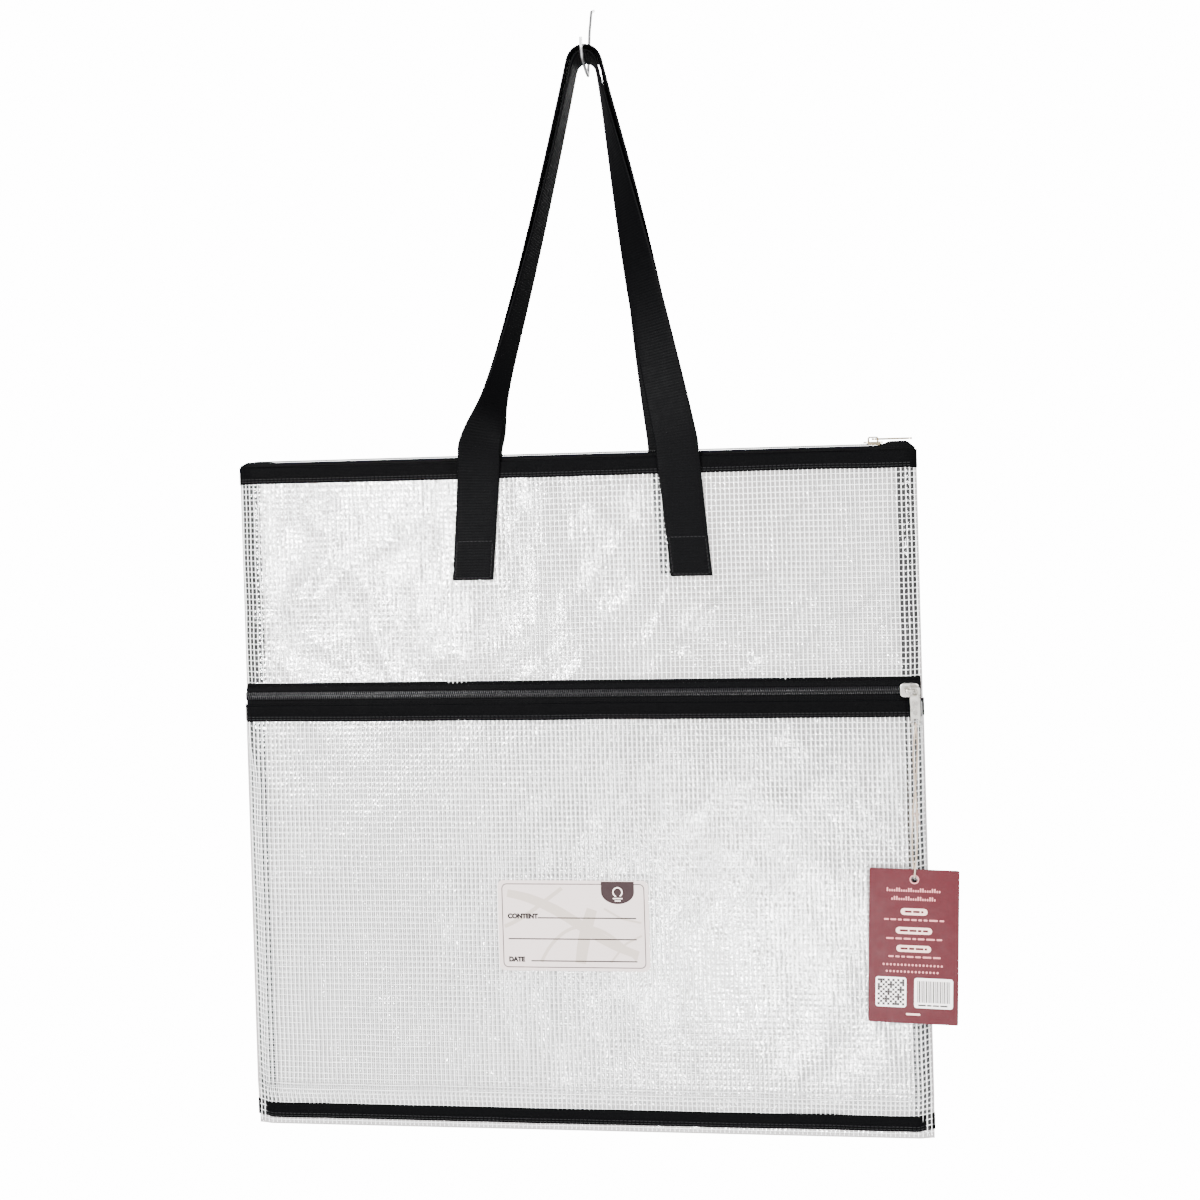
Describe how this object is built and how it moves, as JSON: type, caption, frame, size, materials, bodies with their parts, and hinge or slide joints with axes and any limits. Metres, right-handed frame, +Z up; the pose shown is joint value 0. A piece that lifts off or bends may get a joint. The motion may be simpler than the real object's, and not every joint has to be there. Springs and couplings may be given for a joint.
{
  "type": "knitting project bag",
  "caption": "Flat square project bag of clear mesh vinyl with black bindings, zipped top, zipped front pocket, twin webbing handles, write-on label and a hang tag on a string.",
  "frame": {"origin": "the hang point: the underside of the front handle where it lies over a hook", "axes": "+Z up, -Y towards the front (pocket side), +X to the right as seen from the front"},
  "size_m": [0.4755, 0.0352, 0.7261],
  "materials": {
    "mesh_vinyl": "clear glossy film over a white thread grid",
    "binding": "black folded woven binding tape",
    "webbing": "black ribbed polypropylene webbing, 28 mm",
    "zip_tape": "black woven zip tape",
    "zip_coil": "black nylon coil",
    "slider_gold": "pale gold plated die casting",
    "slider_nickel": "warm nickel plated die casting",
    "label": "satin printed label, cream with dark red",
    "tag": "coated card, deep red with pale print",
    "string": "twisted cotton cord, cream"
  },
  "bodies": {
    "bag": {"body_sheet": "mesh_vinyl", "pocket_panel": "mesh_vinyl", "side_binding_left": "binding", "side_binding_right": "binding", "top_binding_front": "binding", "top_binding_back": "binding", "pocket_top_binding": "binding", "pocket_bottom_binding": "binding", "top_zip_tape_front": "zip_tape", "top_zip_tape_back": "zip_tape", "pocket_zip_tape_upper": "zip_tape", "pocket_zip_tape_lower": "zip_tape", "top_zip_coil_front": "zip_coil", "top_zip_coil_back": "zip_coil", "pocket_zip_coil_upper": "zip_coil", "pocket_zip_coil_lower": "zip_coil", "front_handle_end_left": "webbing", "front_handle_end_right": "webbing", "back_handle_end_left": "webbing", "back_handle_end_right": "webbing", "project_label": "label"},
    "front_handle": {"front_handle_loop": "webbing"},
    "back_handle": {"back_handle_loop": "webbing"},
    "top_zip_runner": {"top_zip_slider": "slider_gold"},
    "top_zip_tab": {"top_zip_pull": "slider_gold"},
    "pocket_zip_runner": {"pocket_zip_slider": "slider_nickel"},
    "pocket_zip_tab": {"pocket_zip_pull": "slider_nickel"},
    "string": {"tag_string": "string"},
    "tag": {"hang_tag": "tag"}
  },
  "joints": [
    {"name": "front_handle_fold", "type": "hinge", "parent": "bag", "child": "front_handle", "pos_m": [-0.0185, -0.0079, -0.2636], "axis": [1, 0, 0], "range_deg": [0, 150]},
    {"name": "back_handle_fold", "type": "hinge", "parent": "bag", "child": "back_handle", "pos_m": [-0.0185, 0.0079, -0.2636], "axis": [-1, 0, 0], "range_deg": [0, 150]},
    {"name": "top_zip_slide", "type": "slide", "parent": "bag", "child": "top_zip_runner", "axis": [-1, 0, 0], "range_m": [0, 0.4]},
    {"name": "top_pull_flip", "type": "hinge", "parent": "top_zip_runner", "child": "top_zip_tab", "pos_m": [0.1825, 0, -0.2608], "axis": [0, -1, 0], "range_deg": [0, 175]},
    {"name": "pocket_zip_slide", "type": "slide", "parent": "bag", "child": "pocket_zip_runner", "axis": [-1, 0, 0], "range_m": [0, 0.43]},
    {"name": "pocket_pull_swing", "type": "hinge", "parent": "pocket_zip_runner", "child": "pocket_zip_tab", "pos_m": [0.2028, -0.0135, -0.4237], "axis": [0, -1, 0], "range_deg": [-35, 90]},
    {"name": "string_hang", "type": "hinge", "parent": "pocket_zip_tab", "child": "string", "pos_m": [0.2028, -0.0135, -0.44505], "axis": [0, -1, 0], "range_deg": [-60, 60]},
    {"name": "tag_swing", "type": "hinge", "parent": "string", "child": "tag", "pos_m": [0.19926, -0.0135, -0.54439], "axis": [0, -1, 0], "range_deg": [-50, 50]}
  ]
}
